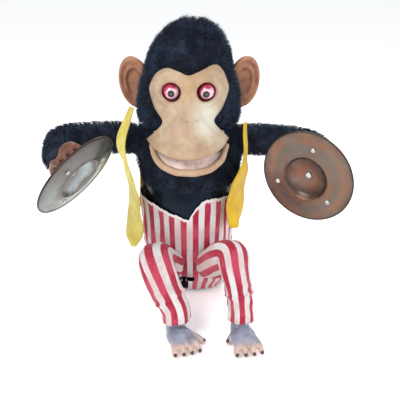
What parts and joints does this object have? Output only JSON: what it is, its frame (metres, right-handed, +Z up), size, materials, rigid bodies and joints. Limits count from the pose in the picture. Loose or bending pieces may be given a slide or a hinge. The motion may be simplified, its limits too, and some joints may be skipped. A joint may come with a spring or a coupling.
{
  "type": "clockwork cymbal-clapping chimp toy",
  "caption": "Sitting clockwork toy chimp with plush head and arms, moulded face, vest, striped trousers and two hinged arms that clap tin cymbals.",
  "frame": {"origin": "middle of the body, on the surface that the toy sits on", "axes": "+Z up, the face looks along -Y, +X is the viewer's right"},
  "size_m": [0.2478, 0.1932, 0.255],
  "materials": {
    "black_plush": "long-pile plush, blue-black",
    "face_vinyl": "soft vinyl, beige with brown staining",
    "mouth_vinyl": "satin painted",
    "ear_vinyl": "satin vinyl, orange-brown",
    "hand_vinyl": "satin vinyl, red-brown",
    "foot_vinyl": "satin vinyl, grey with pale toes",
    "eye_plastic": "gloss",
    "eyelid_paint": "gloss crimson",
    "belly_paint": "gloss black enamel",
    "vest_felt": "felt, yellow",
    "striped_cotton": "cotton, red and white stripes",
    "cymbal_bronze": "tarnished bronze lacquer on tin",
    "brass_wheel": "satin",
    "spring_steel": "blued",
    "bare_tin": "satin tinplate"
  },
  "bodies": {
    "body": {"base_plate": "bare_tin", "front_shell": "belly_paint", "back_shell": "belly_paint", "motor_plate_front": "bare_tin", "motor_plate_back": "bare_tin", "mainspring": "spring_steel", "shoulder_bridge": "bare_tin", "neck_post": "bare_tin", "hip_bracket": "bare_tin", "chest_plush": "black_plush", "trouser_seat": "striped_cotton", "vest_left": "vest_felt", "vest_back": "vest_felt", "vest_right": "vest_felt"},
    "head": {"head_shell": "bare_tin", "head_plush": "black_plush", "face_mask": "face_vinyl", "eyelid_rim_left": "eyelid_paint", "eyelid_rim_right": "eyelid_paint", "ear_left": "ear_vinyl", "ear_right": "ear_vinyl", "jaw_pivot_left": "bare_tin", "jaw_pivot_right": "bare_tin", "neck_sleeve": "bare_tin", "head_spring": "spring_steel"},
    "eyes": {"eye_left": "eye_plastic", "eye_right": "eye_plastic", "eye_yoke": "bare_tin"},
    "lower_jaw": {"jaw": "face_vinyl", "mouth_plate": "mouth_vinyl"},
    "key": {"winding_key": "bare_tin", "winding_arbor": "bare_tin", "great_wheel": "brass_wheel"},
    "second": {"second_wheel": "brass_wheel"},
    "crank": {"crank_wheel": "brass_wheel"},
    "fly": {"governor_fly": "brass_wheel"},
    "lever": {"stop_lever": "belly_paint"},
    "arm_left": {"arm_wire_left": "bare_tin", "arm_plush_left": "black_plush", "hand_left": "hand_vinyl", "cymbal_left": "cymbal_bronze", "centre_rivet_left": "bare_tin", "rim_rivet_left_1": "bare_tin", "rim_rivet_left_2": "bare_tin", "rim_rivet_left_3": "bare_tin"},
    "leg_left": {"trouser_leg_left": "striped_cotton", "leg_wire_left": "bare_tin", "foot_left": "foot_vinyl"},
    "arm_right": {"arm_wire_right": "bare_tin", "arm_plush_right": "black_plush", "hand_right": "hand_vinyl", "cymbal_right": "cymbal_bronze", "centre_rivet_right": "bare_tin", "rim_rivet_right_1": "bare_tin", "rim_rivet_right_2": "bare_tin", "rim_rivet_right_3": "bare_tin"},
    "leg_right": {"trouser_leg_right": "striped_cotton", "leg_wire_right": "bare_tin", "foot_right": "foot_vinyl"}
  },
  "joints": [
    {"name": "key_turn", "type": "hinge", "parent": "body", "child": "key", "pos_m": [0, 0, 0.056], "axis": [0, 1, 0], "continuous": true},
    {"name": "second_turn", "type": "hinge", "parent": "body", "child": "second", "pos_m": [0.01469, 0, 0.07654], "axis": [0, 1, 0], "continuous": true},
    {"name": "crank_turn", "type": "hinge", "parent": "body", "child": "crank", "pos_m": [-0.0042, 0, 0.08923], "axis": [0, 1, 0], "continuous": true},
    {"name": "fly_turn", "type": "hinge", "parent": "body", "child": "fly", "pos_m": [-0.02316, 0, 0.08212], "axis": [0, 1, 0], "continuous": true},
    {"name": "arm_clap", "type": "hinge", "parent": "body", "child": "arm_right", "pos_m": [0.039, 0, 0.15], "axis": [0, 0, -1], "range_deg": [0, 36], "stiffness_Nm_per_rad": 0.03},
    {"name": "arm_clap_left", "type": "hinge", "parent": "body", "child": "arm_left", "pos_m": [-0.039, 0, 0.15], "axis": [0, 0, 1], "range_deg": [0, 36.5]},
    {"name": "head_press", "type": "slide", "parent": "body", "child": "head", "axis": [0, 0, 1], "range_m": [-0.004, 0], "stiffness_N_per_m": 500, "springref_m": 0.005, "deforming": ["head_spring"]},
    {"name": "eye_pop", "type": "slide", "parent": "head", "child": "eyes", "axis": [0, -1, 0], "range_m": [0, 0.0031]},
    {"name": "jaw_open", "type": "hinge", "parent": "head", "child": "lower_jaw", "pos_m": [0, -0.0335, 0.1665], "axis": [1, 0, 0], "range_deg": [0, 12.5]},
    {"name": "hip_left", "type": "hinge", "parent": "body", "child": "leg_left", "pos_m": [-0.02, -0.026, 0.048], "axis": [0, 0, -1], "range_deg": [0, 15]},
    {"name": "hip_right", "type": "hinge", "parent": "body", "child": "leg_right", "pos_m": [0.02, -0.026, 0.048], "axis": [0, 0, 1], "range_deg": [0, 15]},
    {"name": "stop_lever_swing", "type": "hinge", "parent": "body", "child": "lever", "pos_m": [-0.0055, -0.026, 0.026], "axis": [0, 0, 1], "range_deg": [-9, 9]}
  ],
  "couplings": [
    {"joint": "second_turn", "follows": "key_turn", "ratio": -4},
    {"joint": "crank_turn", "follows": "key_turn", "ratio": 14},
    {"joint": "fly_turn", "follows": "key_turn", "ratio": -42},
    {"joint": "arm_clap_left", "follows": "arm_clap", "ratio": 1},
    {"joint": "eye_pop", "follows": "head_press", "ratio": -0.75},
    {"joint": "jaw_open", "follows": "head_press", "rad_per_m": -52.36}
  ]
}
